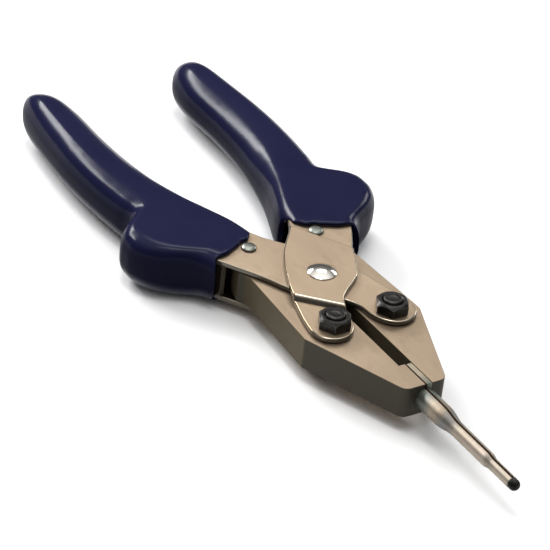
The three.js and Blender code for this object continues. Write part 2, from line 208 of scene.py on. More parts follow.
def plate(name, loops, bottom, top, edge):
    """A flat plate from an outline and its holes, with its edges rounded off by edge millimetres."""
    curve = bpy.data.curves.new(name, "CURVE")
    curve.dimensions = "2D"
    curve.fill_mode = "BOTH"
    curve.extrude = (top - bottom) / 2 - edge
    curve.bevel_depth = edge
    curve.offset = -edge
    curve.bevel_resolution = 3
    for loop in loops:
        spline = curve.splines.new("POLY")
        spline.points.add(len(loop) - 1)
        for point, (x, y) in zip(spline.points, loop):
            point.co = (x, y, 0, 1)
        spline.use_cyclic_u = True
    shape = link(name + "_curve", curve)
    piece = link(name, evaluated(shape))
    remove(shape)
    piece.data.transform(Matrix.Translation((0, 0, (bottom + top) / 2)))
    edit(piece, lambda bm: bmesh.ops.remove_doubles(bm, verts=bm.verts, dist=1e-4))
    return piece


def turned(name, profile, sides=64):
    """A piece turned about +Z from [radius, height] pairs that start and end on the axis."""
    bm = bmesh.new()
    rings = []
    for radius, height in profile:
        if radius == 0:
            rings.append([bm.verts.new((0, 0, height))] * sides)
        else:
            rings.append([
                bm.verts.new((radius * math.cos(a), radius * math.sin(a), height))
                for a in (2 * math.pi * i / sides for i in range(sides))
            ])
    for low, high in zip(rings, rings[1:]):
        for i in range(sides):
            j = (i + 1) % sides
            corners = list(dict.fromkeys((low[i], low[j], high[j], high[i])))
            bm.faces.new(corners)
    bmesh.ops.recalc_face_normals(bm, faces=bm.faces)
    mesh = bpy.data.meshes.new(name)
    bm.to_mesh(mesh)
    bm.free()
    return link(name, mesh)


def rod(name, radius, low, high, sides):
    return turned(name, [(0, low), (radius, low), (radius, high), (0, high)], sides)


def rounded_profile(corners, steps=4):
    """[radius, height, fillet] corners of a profile, with each fillet turned into an arc of short steps."""
    profile = []
    for i, (radius, height, fillet) in enumerate(corners):
        here = Vector((radius, height))
        if not fillet:
            profile.append((radius, height))
            continue
        before = (Vector(corners[i - 1][:2]) - here).normalized() * fillet
        after = (Vector(corners[i + 1][:2]) - here).normalized() * fillet
        for step in range(steps + 1):
            t = step / steps
            point = here + before * (1 - t) ** 2 + after * t**2
            profile.append((point.x, point.y))
    return profile


def unfilleted(points):
    """Profile corners for points that are already smooth."""
    return [(point.x, point.y, 0) for point in points]


def block(name, low, high):
    bm = bmesh.new()
    bmesh.ops.create_cube(bm, size=1)
    mesh = bpy.data.meshes.new(name)
    bm.to_mesh(mesh)
    bm.free()
    size = Vector(high) - Vector(low)
    middle = (Vector(high) + Vector(low)) / 2
    mesh.transform(Matrix.Translation(middle) @ Matrix.Diagonal((*size, 1)))
    return link(name, mesh)


def finished(piece, body, slot, material, *nodes, sharp=35):
    """Brings a piece from millimetres about the pivot into the frame, and shades it, gives it its material
    and fastens it.
    """
    piece.data.transform(Matrix.Translation(PIVOT) @ Matrix.Scale(MM, 4))
    for polygon in piece.data.polygons:
        polygon.use_smooth = True
    piece.data.set_sharp_from_angle(angle=math.radians(sharp))
    weighted = piece.modifiers.new("weighted", "WEIGHTED_NORMAL")
    weighted.keep_sharp = True
    piece.data.materials.clear()
    piece.data.materials.append(material)
    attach(piece, body)
    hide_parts(*nodes)
    return piece


# ---------------------------------------------------------------- materials


class Shader:
    """A Principled material with short ways to add the procedural nodes that these finishes use."""

    def __init__(self, name, **constants):
        self.material = bpy.data.materials.new(name)
        self.material.use_nodes = True
        self.nodes = self.material.node_tree.nodes
        self.links = self.material.node_tree.links
        self.bsdf = self.nodes["Principled BSDF"]
        self.place = self.nodes.new("ShaderNodeTexCoord").outputs["Object"]
        for socket, value in constants.items():
            self.bsdf.inputs[socket.replace("_", " ")].default_value = value

    def add(self, kind, inputs=None, **settings):
        node = self.nodes.new(kind)
        for key, value in settings.items():
            setattr(node, key, value)
        for key, value in (inputs or {}).items():
            if isinstance(value, bpy.types.NodeSocket):
                self.links.new(value, node.inputs[key])
            else:
                node.inputs[key].default_value = value
        return node

    def noise(self, size, detail=3, stretch=(1, 1, 1), roughness=0.55):
        """Noise whose grains are about size millimetres across."""
        scale = [s / (size * MM) for s in stretch]
        spread = self.add("ShaderNodeMapping", {"Vector": self.place, "Scale": scale})
        inputs = {"Vector": spread.outputs[0], "Scale": 1.0, "Detail": detail, "Roughness": roughness}
        return self.add("ShaderNodeTexNoise", inputs).outputs["Fac"]

    def ramp(self, value, stops):
        node = self.add("ShaderNodeValToRGB", {"Fac": value})
        elements = node.color_ramp.elements
        while len(elements) < len(stops):
            elements.new(0.5)
        for element, (position, colour) in zip(elements, stops):
            element.position = position
            element.color = colour if len(colour) == 4 else (*colour, 1)
        return node.outputs["Color"]

    def mix(self, share, first, second, blend="MIX"):
        node = self.add("ShaderNodeMix", data_type="RGBA", blend_type=blend)
        for socket, value in zip((node.inputs[0], node.inputs[6], node.inputs[7]), (share, first, second)):
            if isinstance(value, bpy.types.NodeSocket):
                self.links.new(value, socket)
            elif isinstance(value, (int, float)):
                socket.default_value = value
            else:
                socket.default_value = (*value, 1)
        return node.outputs[2]

    def math(self, operation, first, second=0.0, third=0.0, clamp=False):
        inputs = {0: first, 1: second, 2: third}
        return self.add("ShaderNodeMath", inputs, operation=operation, use_clamp=clamp).outputs[0]

    def scaled(self, value, low, high):
        """A 0 to 1 value brought into low to high."""
        return self.math("MULTIPLY_ADD", value, high - low, low)

    def bump(self, height, distance, normal=None, strength=1.0):
        inputs = {"Height": height, "Distance": distance * MM, "Strength": strength}
        if normal:
            inputs["Normal"] = normal
        return self.add("ShaderNodeBump", inputs).outputs[0]

    def rise(self, value, low, high):
        """0 below low and 1 above high."""
        return self.ramp(value, [(low, (0, 0, 0)), (high, (1, 1, 1))])

    def fall(self, value, low, high):
        """1 below low and 0 above high."""
        return self.ramp(value, [(low, (1, 1, 1)), (high, (0, 0, 0))])

    def along_axis(self, vector, axis):
        return self.add("ShaderNodeSeparateXYZ", {0: vector}).outputs[axis]

    def normal(self, axis):
        return self.along_axis(self.add("ShaderNodeNewGeometry").outputs["Normal"], axis)

    def face_up(self):
        """1 on faces that look up or down, 0 on upright ones."""
        return self.math("ABSOLUTE", self.normal("Z"))

    def along(self, low, high):
        """0 to 1 along X between two places, in millimetres from the pivot."""
        x = self.along_axis(self.place, "X")
        start = PIVOT.x + low * MM
        span = (high - low) * MM
        return self.math("MULTIPLY_ADD", x, 1 / span, -start / span, clamp=True)

    def finish(self, colour=None, roughness=None, normal=None):
        for socket, value in (("Base Color", colour), ("Roughness", roughness), ("Normal", normal)):
            if value is not None:
                self.links.new(value, self.bsdf.inputs[socket])
        return self.material


TAN = (0.40, 0.306, 0.215)
TAN_PALE = (0.47, 0.364, 0.260)
TAN_DULL = (0.29, 0.218, 0.142)
TAN_GRAIN = (0.34, 0.27, 0.19)
PIT = (0.24, 0.20, 0.14)
# Painted shading of the bevels that look to the handles.
BEVEL_SHADING_REAR = (0.17, 0.13, 0.085)
SIDE_STAIN = (0.05, 0.043, 0.033)
# Colour of the painted shade inside a lever's channel.
CHANNEL_SHADE_COLOUR = (0.018, 0.014, 0.009)
# How far a face looks up where a sheared side gives way to a bevel, and a bevel to a flat.
BEVEL_FROM, BEVEL_AT = 0.50, 0.68
FLAT_FROM, FLAT_AT = 0.955, 0.995
# Heights off the mid-plane where the painted shade inside a channel ends, as shares of the first value, a
# spread in millimetres.
CHANNEL_SHADE_SPREAD, CHANNEL_SHADE_FULL, CHANNEL_SHADE_END = 10, 0.458, 0.470


def rolled_face(s, grain):
    """Colour of the plated flats: mottled, a little stained and pitted, with the sheet's rolling grain."""
    mottle = s.rise(s.noise(9, detail=4, stretch=(0.35, 1, 1)), 0.35, 0.7)
    stain = s.rise(s.noise(2.6, detail=6, stretch=(0.5, 1, 1)), 0.54, 0.76)
    pits = s.rise(s.noise(0.45, detail=4), 0.60, 0.74)
    face = s.mix(mottle, TAN, TAN_PALE)
    face = s.mix(s.math("MULTIPLY", stain, 0.45), face, TAN_DULL)
    face = s.mix(s.math("MULTIPLY", pits, 0.30), face, PIT)
    return s.mix(s.scaled(grain, 0.0, 0.14), face, TAN_GRAIN)


def channel_shade_share(s, share):
    """How much painted shade a place gets: share inside the channel, and 0 outside it and on its front edges.
    """
    off_plane = s.math("SUBTRACT", s.along_axis(s.place, "Z"), PIVOT.z)
    depth = s.math("MULTIPLY", s.math("ABSOLUTE", off_plane), 1 / (CHANNEL_SHADE_SPREAD * MM))
    front_edge = s.rise(s.normal("X"), 0.80, 0.90)
    inside = s.math("SUBTRACT", s.fall(depth, CHANNEL_SHADE_FULL, CHANNEL_SHADE_END), front_edge, clamp=True)
    return s.math("MULTIPLY", inside, share)


def plated_steel(name, tone, bevel_shading_front, edge_rough, side_shade_rear, side_shade_front, channel_shade):
    """Satin nickel over rolled steel: mottled flats, bevels painted with a highlight or shade, and sheared
    sides painted darker as shade.

    The sides and bevels that look to the tips are painted in their own shades, given by the front side and
    front bevel colours.
    """
    s = Shader(name)
    grain = s.noise(0.35, detail=3, stretch=(0.12, 1, 1))
    face = s.mix(1.0, rolled_face(s, grain), (tone, tone, tone), blend="MULTIPLY")
    # The sheared sides are painted darker as shade, in one shade where they face the handles and another
    # where they face the tips.
    forward = s.rise(s.normal("X"), 0.05, 0.25)
    side = s.mix(forward, side_shade_rear, side_shade_front)
    side = s.mix(s.scaled(s.noise(1.1, detail=5), 0.0, 0.5), side, SIDE_STAIN)
    up = s.face_up()
    flat = s.rise(up, FLAT_FROM, FLAT_AT)
    # The bevels are painted with a highlight or shade that depends on which way they face.
    edge = s.mix(s.rise(up, BEVEL_FROM, BEVEL_AT), side, s.mix(forward, BEVEL_SHADING_REAR, bevel_shading_front))
    # Painted shade inside the channel darkens the flats, bevels and sides there.
    colour = s.mix(channel_shade_share(s, channel_shade), s.mix(flat, edge, face), CHANNEL_SHADE_COLOUR)
    rough = s.scaled(s.noise(3.0, detail=5), 0.44, 0.56)
    rough = s.mix(flat, (edge_rough,) * 3, rough)
    metal = s.ramp(up, [(BEVEL_FROM, (0.55, 0.55, 0.55)), (BEVEL_AT, (1, 1, 1))])
    s.links.new(metal, s.bsdf.inputs["Metallic"])
    fine = s.bump(grain, 0.006)
    return s.finish(colour, rough, s.bump(s.noise(0.25, detail=2), 0.004, fine))


# Heat colours along the tip, at shares of its length.
HEAT_TINTS = [
    (0.11, (1.0, 0.98, 0.85)), (0.19, (0.34, 0.44, 0.44)), (0.26, (0.42, 0.52, 0.54)),
    (0.32, (0.85, 0.82, 0.74)), (0.37, (0.75, 0.70, 0.60)), (0.41, (0.45, 0.50, 0.55)),
    (0.46, (0.50, 0.52, 0.55)), (0.52, (0.90, 0.88, 0.80)), (0.74, (1.0, 0.95, 0.92)),
    (0.78, (0.62, 0.62, 0.60)), (0.82, (1, 0.98, 0.92)),
]
# Distances from the mid-line where the painted shade along the split begins to fade and has gone.
SPLIT_SHADE_FULL_TO, SPLIT_SHADE_GONE_AT = 0.28, 0.42


def tip_steel():
    """Ground steel, blued by the brazing heat near the jaws and again where the neck begins to taper."""
    s = Shader("tip_steel", Metallic=1.0)
    base = s.mix(s.noise(2.5, detail=4), (0.44, 0.385, 0.33), (0.33, 0.30, 0.26))
    wander = s.math("MULTIPLY_ADD", s.noise(3.0, detail=3), 0.10, -0.05)
    place = s.math("ADD", s.along(ROOT_REAR, TIP_END), wander)
    colour = s.mix(1.0, base, s.ramp(place, HEAT_TINTS), blend="MULTIPLY")
    # Painted shade along the split between the two tip halves.
    from_split = s.math("MULTIPLY", s.math("ABSOLUTE", s.along_axis(s.place, "Y")), 1 / MM)
    split_shade = s.fall(from_split, SPLIT_SHADE_FULL_TO, SPLIT_SHADE_GONE_AT)
    colour = s.mix(split_shade, colour, (0.045, 0.022, 0.010))
    turning = s.noise(0.22, detail=2, stretch=(1, 0.05, 0.05))
    colour = s.mix(s.scaled(turning, 0, 0.25), colour, (0.14, 0.12, 0.10))
    rough = s.scaled(s.noise(1.5, detail=4), 0.42, 0.58)
    return s.finish(colour, rough, s.bump(turning, 0.01))


def black_oxide(name, low, high, rough):
    """Black oxide on machined steel, lighter in patches, and lighter on its corners where it is rubbed and
    where a highlight is painted.
    """
    s = Shader(name, Metallic=0.85)
    colour = s.mix(s.rise(s.noise(1.4, detail=5), 0.4, 0.75), low, high)
    corner_normal = s.add("ShaderNodeBevel", {"Radius": 0.25 * MM}, samples=4).outputs[0]
    flat = s.add("ShaderNodeNewGeometry").outputs["Normal"]
    bend = s.add("ShaderNodeVectorMath", {0: corner_normal, 1: flat}, operation="DOT_PRODUCT").outputs["Value"]
    # Corners lighter: partly rubbed wear, partly a painted highlight on the edges.
    rubbed_and_highlit = s.fall(bend, 0.80, 0.97)
    colour = s.mix(s.math("MULTIPLY", rubbed_and_highlit, 0.5), colour, (0.34, 0.32, 0.30))
    roughness = s.scaled(s.noise(0.9, detail=4), rough - 0.08, rough + 0.10)
    return s.finish(colour, roughness, s.bump(s.noise(0.3, detail=3), 0.012))


def polished_steel():
    s = Shader("polished_steel", Metallic=1.0)
    colour = s.mix(s.noise(2.0), (0.80, 0.76, 0.70), (0.68, 0.64, 0.58))
    scuff = s.rise(s.noise(0.6, detail=5), 0.45, 0.8)
    return s.finish(colour, s.scaled(scuff, 0.12, 0.20), s.bump(s.noise(1.6, detail=2), 0.004))


def pin_steel():
    s = Shader("pin_steel", Metallic=1.0)
    colour = s.mix(s.noise(1.2, detail=4), (0.15, 0.16, 0.14), (0.27, 0.28, 0.25))
    roughness = s.scaled(s.noise(0.7, detail=4), 0.25, 0.45)
    return s.finish(colour, roughness, s.bump(s.noise(0.9, detail=3), 0.05))


def bronze():
    s = Shader("bush_bronze", Metallic=1.0)
    colour = s.mix(s.noise(0.6, detail=5), (0.42, 0.26, 0.10), (0.28, 0.16, 0.06))
    return s.finish(colour, s.scaled(s.noise(0.4), 0.4, 0.6), s.bump(s.noise(0.3), 0.01))


def navy_vinyl():
    """Dipped vinyl: glossy navy with slow thickness waves and faint dust.

    Its upright sides are painted darker as shade and are dulled by hands, and its lower sides mirror the
    floor more.
    """
    s = Shader("navy_vinyl")
    up = s.face_up()
    # Painted shade: the upright sides are darker than the tops.
    shade = s.ramp(up, [(0.10, (0.45, 0.45, 0.45)), (0.70, (1, 1, 1))])
    colour = s.mix(s.noise(18, detail=3), (0.0070, 0.0074, 0.030), (0.0110, 0.0114, 0.041))
    colour = s.mix(1.0, colour, shade, blend="MULTIPLY")
    dust = s.rise(s.noise(0.28, detail=2), 0.70, 0.80)
    colour = s.mix(s.math("MULTIPLY", dust, 0.10), colour, (0.10, 0.10, 0.14))
    roughness = s.math("ADD", s.scaled(s.noise(9, detail=5), 0.15, 0.24), s.math("MULTIPLY", dust, 0.1))
    down = s.math("MULTIPLY", s.normal("Z"), -1.0, clamp=True)
    gloss = s.ramp(down, [(0.12, (0.10, 0.10, 0.10)), (0.50, (1, 1, 1))])
    s.links.new(gloss, s.bsdf.inputs["Specular IOR Level"])
    dull = s.add("ShaderNodeBsdfDiffuse", {"Color": colour}).outputs[0]
    handled = s.ramp(up, [(0.15, (0.65, 0.65, 0.65)), (0.55, (0, 0, 0))])
    surface = s.add("ShaderNodeMixShader", {0: handled, 1: s.bsdf.outputs[0], 2: dull}).outputs[0]
    s.links.new(surface, s.nodes["Material Output"].inputs["Surface"])
    wave = s.bump(s.noise(11, detail=2), 0.10)
    return s.finish(colour, roughness, s.bump(s.noise(0.5, detail=3), 0.0035, wave))


def floor_paper():
    s = Shader("floor_paper", Roughness=0.9)
    return s.finish(s.mix(s.noise(40), (0.90, 0.90, 0.90), (0.93, 0.93, 0.93)))


# ---------------------------------------------------------------- levers

# Plan of the outer lever, handle at +Y: round the inner edge, the pad at the jaw bolt and the outer edge.
LEVER_INNER_EDGE = [
    (-105.6, 25), (-103.6, 22.9), (-95, 21.9), (-84, 21.7), (-75, 21.2), (-65, 20.2), (-57, 18.7),
    (-50, 16.9), (-42.5, 13.9), (-34, 9.8), (-28, 7.1), (-23.9, 5), (-21.3, 3.4), (-16.2, -0.9),
    (-12.4, -3.9), (-7.4, -6.8), (-2.3, -9.2), (3.3, -11.5), (8, -12.7), (13, -14.1), (18, -15.1),
]
LEVER_PAD = [
    (20.8, -15.2), (23.5, -14.2), (25.2, -11.7), (25.6, -9.2), (24.8, -6.6), (22.4, -4.2), (19, -2.8),
    (15.2, -2.3),
]
LEVER_OUTER_EDGE = [
    (12.6, -1.1), (10.2, 0.9), (5.9, 6.6), (4.2, 8.4), (-0.8, 11.3), (-7, 14.4), (-17.9, 21.1),
    (-24, 23.6), (-32, 25.9), (-41, 26.9), (-50, 27.1), (-65, 28.6), (-75, 29.1), (-85, 28.8),
    (-95, 27.9), (-103.6, 26.8),
]
LEVER_PLAN = smooth_line(LEVER_INNER_EDGE + LEVER_PAD + LEVER_OUTER_EDGE, 6, closed=True)
WEB_FRONT = -15.5
SHEET_EDGE = 0.42
PIVOT_HOLE, BOLT_HOLE, PIN_HOLE = 2.6, 2.6, 1.6

# Each joggle: the foot of its ramp, the way it runs, and how wide the ramp is.
REAR_FOOT, REAR_RUN = Vector((-23.2, 4.8)), math.atan2(10, 16.2)
FRONT_FOOT, FRONT_RUN = Vector((6.8, -12)), math.atan2(9.7, 9.4) + math.pi
JOGGLES = ((REAR_FOOT, REAR_RUN), (FRONT_FOOT, FRONT_RUN))
RAMP = 1.15
RAMP_CUTS = 7
STEP_UP = OUTER_LEVER_TOP - INNER_LEVER_TOP
# Points this near a cut count as on it.
SNAP = 0.02


def across(point, foot, run):
    """How far a point lies past the foot of a ramp, on its high side."""
    offset = Vector(point[:2]) - foot
    return offset.x * math.sin(run) - offset.y * math.cos(run)


def raised(bm):
    """Lifts the middle of a low cheek to the high level, over two ramps that round off at the top."""
    for foot, run in JOGGLES:
        normal = Vector((math.sin(run), -math.cos(run), 0))
        for i in range(RAMP_CUTS + 1):
            where = Vector((*foot, 0)) + normal * (RAMP * i / RAMP_CUTS)
            parts = bm.verts[:] + bm.edges[:] + bm.faces[:]
            bmesh.ops.bisect_plane(bm, geom=parts, dist=SNAP, plane_co=where, plane_no=normal)
    bmesh.ops.remove_doubles(bm, verts=bm.verts, dist=SNAP)
    for vert in bm.verts:
        share = min(across(vert.co, foot, run) / RAMP for foot, run in JOGGLES)
        share = min(max(share, 0), 1)
        vert.co.z += STEP_UP * share * (2 - share)


def lever_cheek(name, joggled):
    bolt_hole = circle((BOLT_AT.x, -BOLT_AT.y), BOLT_HOLE)
    loops = [LEVER_PLAN, circle((0, 0), PIVOT_HOLE), bolt_hole, circle(PIN_AT, PIN_HOLE, 40)]
    cheek = plate(name, loops, INNER_LEVER_TOP - SHEET, INNER_LEVER_TOP, SHEET_EDGE)
    if joggled:
        edit(cheek, raised)
    return cheek


def lever_web(name):
    """The channel's web along the outer side of the handle, with a rounded front edge."""
    rim = [p for p in smooth_line(LEVER_OUTER_EDGE[5:], 6) if p.x < WEB_FRONT]
    inside = [Vector((p.x, p.y - SHEET)) for p in reversed(rim)]
    half = INNER_LEVER_TOP - SHEET / 2
    return plate(name, [rim + inside], -half, half, SHEET_EDGE)


def make_lever(name, joggled, flip, body, material):
    cheek = lever_cheek(name, joggled)
    under = transformed(copy_of(cheek, name + "_under"), FLIP_Z)
    lever = joined(cheek, under, lever_web(name + "_web"))
    if flip:
        transformed(lever, FLIP_Y)
    return finished(lever, body, "plated_steel", material, name)


# ---------------------------------------------------------------- jaws and tips

THROAT_HALF = 1.9
TAIL_RADIUS = 4.3
SLOT_HALF = 1.6
SLOT_TRAVEL = 5.32
SLOT_SLOPE = math.radians(2.55)
JAW_SWING = math.radians(13)
JAW_EDGE = 0.14
BUSH_ROOM = 3.6
TIP_RISE = 0.3
SPLIT_HALF = 0.15
ROOT_REAR = 39.5
ROOT_HALF = 4.25
GROOVE_REAR, GROOVE_RADIUS = 44.5, 2.87
NECK_RADIUS, SHAFT_RADIUS, END_RADIUS = 2.85, 1.95, 1.55
NOSE_REAR, NOSE_RADIUS = 86.25, 1.5
WIRE_RADIUS = 0.8
TIP_END = 88.56
# Brings a piece turned about +Z onto the tip's axis, which runs along +X a little above the mid-plane.
ONTO_TIP_AXIS = Matrix.Translation((0, 0, TIP_RISE)) @ Matrix.Rotation(math.pi / 2, 4, "Y")


def jaw_plan(face):
    """The left jaw, whose inner side steps in to face beside the tip's root."""
    front = JAW_HIGH.x
    nose = arc((front - 2.6, 4.3), 2.6, 0, 65, 8)
    corner = smooth_line([(21.4, 17.1), (20.3, 17.5), (19, 17.48)], 4)
    tail = arc(PIN_AT, TAIL_RADIUS, 110, 245, 20)
    heel = [Vector(p) for p in ((-8.7, 15.95), (-12.2, 17.4), (-15.6, 16.6))]
    inner = [Vector((-13.5, 4.2)), Vector((-10.5, THROAT_HALF))]
    step = [Vector((ROOT_REAR, THROAT_HALF)), Vector((ROOT_REAR, face))] if face < THROAT_HALF else []
    return [Vector((front, face)), *nose, *corner, *heel, *tail, *inner, *step]


def jaw_slot():
    ends = arc((0, 0), SLOT_HALF, 90, 270, 16) + arc((SLOT_TRAVEL, 0), SLOT_HALF, -90, 90, 16)
    turn = Matrix.Rotation(-SLOT_SLOPE, 2)
    return [turn @ p + Vector(PIN_AT[:2]) for p in ends]


def make_jaw(side, material):
    face = THROAT_HALF if side == "left" else SPLIT_HALF
    loops = [jaw_plan(face), jaw_slot(), circle(BOLT_AT, BUSH_ROOM)]
    jaw = plate(side + "_jaw_piece", loops, JAW_LOW.z, JAW_HIGH.z, JAW_EDGE)
    groove = rod("groove", GROOVE_RADIUS, GROOVE_REAR, JAW_HIGH.x + 10, 48)
    cut(jaw, transformed(groove, ONTO_TIP_AXIS))
    if side == "right":
        transformed(jaw, FLIP_Y)
    return finished(jaw, JAW_BODY[side], "plated_steel", material, side + "_jaw")


def half_turned(name, corners):
    """The left half of a piece turned about the tip's axis."""
    piece = transformed(turned(name, rounded_profile(corners), 72), ONTO_TIP_AXIS)
    return cut(piece, block("far_half", (0, -20, -20), (200, SPLIT_HALF, 20)))


def tip_root():
    """The flat root that fills the throat beside the left jaw."""
    rear, side = ROOT_REAR + CLEARANCE, THROAT_HALF - CLEARANCE
    plan = [(rear, SPLIT_HALF), (rear, side), (JAW_HIGH.x, side), (JAW_HIGH.x, SPLIT_HALF)]
    return plate("root", [[Vector(corner) for corner in plan]], -ROOT_HALF, ROOT_HALF, 0.12)


def make_tip(side, material):
    rear = GROOVE_REAR + 2 * CLEARANCE
    corners = [
        (0, rear, 0), (NECK_RADIUS, rear, 0), (NECK_RADIUS, 58, 1.2), (SHAFT_RADIUS, 62.4, 1.2),
        (SHAFT_RADIUS, 76.6, 0.6), (END_RADIUS, 78, 0.6), (END_RADIUS, NOSE_REAR, 0.08), (0, NOSE_REAR, 0),
    ]
    tip = half_turned(side + "_tip_piece", corners)
    if side == "left":
        joined(tip, tip_root())
    bore = rod("bore", WIRE_RADIUS, 0, NOSE_REAR - 0.4, 32)
    cut(tip, transformed(bore, ONTO_TIP_AXIS))
    if side == "right":
        transformed(tip, FLIP_Y)
    return finished(tip, JAW_BODY[side], "tip_steel", material, side + "_tip")


def make_nose(side, material):
    rear = NOSE_REAR + 0.05
    dome = unfilleted(arc((0, TIP_END - NOSE_RADIUS), NOSE_RADIUS, 0, 90, 10)[:-1])
    corners = [(0, rear, 0), (NOSE_RADIUS - 0.05, rear, 0), *dome, (0, TIP_END, 0)]
    nose = half_turned(side + "_nose_piece", corners)
    if side == "right":
        transformed(nose, FLIP_Y)
    return finished(nose, JAW_BODY[side], "black_oxide", material, side + "_nose")


# ---------------------------------------------------------------- fasteners

HEX_FLATS = 8
BOLT_RADIUS, NUT_HOLE = 2.5, 2.6
PIN_RADIUS = 1.5
PIVOT_RADIUS, DOME_REACH = 2.5, 3.85
BOLT_LOW, BOLT_HIGH = (from_pivot(corner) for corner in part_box("left_jaw_bolt"))
NUT_LOW, NUT_HIGH = (from_pivot(corner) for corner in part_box("left_jaw_nut"))


def hexagon(name, seat, face):
    """A hexagon about +Z, between its seat and its outer face, whose corners are turned off to a chamfer."""
    corner = HEX_FLATS / math.sqrt(3)
    low, high = sorted((seat, face))
    body = plate(name, [arc((0, 0), corner, 90, 450, 6)[:-1]], low, high, 0.08)
    way = 1 if face > seat else -1
    skin = [
        (0, seat - way, 0), (corner + 0.3, seat - way, 0), (corner + 0.3, face - way * 1.15, 0),
        (HEX_FLATS / 2 - 0.3, face, 0.12), (0, face, 0),
    ]
    return with_boolean(body, "INTERSECT", turned(name + "_skin", rounded_profile(skin), 96))


def jaw_nut(name):
    nut = hexagon(name, NUT_LOW.z, NUT_HIGH.z)
    under, chamfer, over = NUT_LOW.z - 1, NUT_HIGH.z - 0.35, NUT_HIGH.z + 0.15
    hole = [(0, under), (NUT_HOLE, under), (NUT_HOLE, chamfer), (NUT_HOLE + 0.5, over), (0, over)]
    return cut(nut, turned("hole", hole))


def jaw_bolt(name):
    """A low hexagon head below, and a shank whose end is rounded off with a shallow dimple."""
    head_top = -INNER_LEVER_TOP - CLEARANCE
    end = BOLT_HIGH.z
    shank = rounded_profile([
        (0, head_top - 1, 0), (BOLT_RADIUS, head_top - 1, 0), (BOLT_RADIUS, end - 0.55, 0),
        (BOLT_RADIUS, end - 0.05, 0.5), (1.2, end, 0.3), (0.9, end - 0.12, 0.2), (0, end - 0.12, 0),
    ])
    return joined(hexagon(name, head_top, BOLT_LOW.z), turned("shank", shank))


def jaw_bush(name):
    half = INNER_LEVER_TOP - SHEET - 0.05
    loops = [circle((0, 0), BUSH_ROOM - CLEARANCE), circle((0, 0), BOLT_RADIUS + CLEARANCE)]
    return plate(name, loops, -half, half, 0.15)


def make_jaw_fasteners(side, black, bush_metal):
    y = BOLT_AT.y if side == "left" else -BOLT_AT.y
    there = Matrix.Translation((BOLT_AT.x, y, 0))
    body = LEVER_OF_JAW[side]
    nut = transformed(jaw_nut(side + "_jaw_nut_piece"), there)
    finished(nut, body, "black_oxide", black, side + "_jaw_nut")
    bolt = transformed(jaw_bolt(side + "_jaw_bolt_piece"), there)
    finished(bolt, body, "black_oxide", black, side + "_jaw_bolt")
    bush = transformed(jaw_bush(side + "_jaw_bush_piece"), there)
    finished(bush, body, "bush_bronze", bush_metal, side + "_jaw_bush")


def make_guide_pin(name, at, body, material):
    """A pin with both ends peened into low domes."""
    seat, top, reach = INNER_LEVER_TOP + CLEARANCE, PIN_HIGH.z, (PIN_HIGH.x - PIN_LOW.x) / 2
    head = [
        (PIN_RADIUS, seat, 0), (reach, seat, 0.12), (reach, top - 0.45, 0.3),
        (reach - 0.75, top - 0.05, 0.35), (0, top, 0),
    ]
    tail = [(r, -h, f) for r, h, f in reversed(head)]
    pin = turned(name + "_piece", rounded_profile(tail + head), 56)
    transformed(pin, Matrix.Translation((at[0], at[1], 0)))
    return finished(pin, body, "pin_steel", material, name)


def make_pivot_rivet(name, under, material):
    top = from_pivot(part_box("upper_pivot_rivet")[1]).z
    seat = OUTER_LEVER_TOP + CLEARANCE
    foot = INNER_LEVER_TOP - SHEET - 0.05
    rise = top - seat - 0.15
    ball = (DOME_REACH**2 + rise**2) / (2 * rise)
    slope = 90 - math.degrees(math.asin(DOME_REACH / ball))
    dome = unfilleted(arc((0, top - ball), ball, slope, 90, 14)[:-1])
    corners = [
        (0, foot, 0), (PIVOT_RADIUS, foot, 0), (PIVOT_RADIUS, seat, 0), (DOME_REACH - 0.15, seat, 0.08),
        *dome, (0, top, 0),
    ]
    rivet = turned(name + "_piece", rounded_profile(corners), 80)
    if under:
        transformed(rivet, FLIP_Z)
    return finished(rivet, INNER, "rivet_steel", material, name)


# ---------------------------------------------------------------- grips

GRIP_LOW, GRIP_HIGH = (from_pivot(corner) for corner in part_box("outer_grip"))
GRIP_HALF = GRIP_HIGH.z
GRIP_STATIONS = 150
GRIP_SIDES = 72
VOXEL = 0.34
SOFTEN = 14

# Plan of the outer lever's grip: its side towards the other grip, and the outer side with the finger guard.
GRIP_INNER_SIDE = [
    (-115.2, 24.6), (-114.2, 22.3), (-111.6, 20), (-107, 18), (-98, 16.8), (-84, 16.8), (-70, 15.9),
    (-57, 13.8), (-47, 11.7), (-40, 9.3), (-33, 6.5), (-27, 5), (-20, 3.2), (-10, 0.5),
]
GRIP_OUTER_SIDE = [
    (-115.2, 24.6), (-114.4, 26.8), (-111, 29), (-104, 30.5), (-92, 31.8), (-78, 32.7), (-64, 32.3),
    (-54, 31.1), (-49.4, 30.2), (-46.2, 30.4), (-43.6, 33), (-41, 36.1), (-38, 37.9), (-34, 38.2),
    (-29, 36.3), (-25.5, 33), (-23, 29.2), (-20.8, 25.8), (-18.6, 24.1), (-16.5, 23.1), (-10, 20),
]
GRIP_FRONT = [
    (-36, -20), (-30.5, 2), (-29, 6.2), (-24.6, 6.6), (-21.8, 9), (-20.2, 13.2), (-18.2, 17), (-17.4, 21.5),
    (-14.6, 22.6), (-10, 26),
]
# The section is round at the rear and boxy over the cheeks: widths of its inner and outer shoulders, and the
# power of their curve.
REAR_SHOULDERS, REAR_POWER = (9.5, 6.5), 2.3
FRONT_SHOULDERS, FRONT_POWER = (6.3, 6.3), 3.0
BOXY_FROM, BOXY_AT = -62, -38
DOME_LENGTH, DOME_POWER = 12, 2.3
GRIP_GAP = 0.15
PIN_ROOM = 2.5
TAIL_ROOM = 0.5
FAR = 20


def height_at(line, x):
    for a, b in zip(line, line[1:]):
        if a.x <= x <= b.x:
            return a.y + (b.y - a.y) * (x - a.x) / max(b.x - a.x, 1e-9)
    return line[0].y if x < line[0].x else line[-1].y


def between(first, second, share):
    return first + (second - first) * share


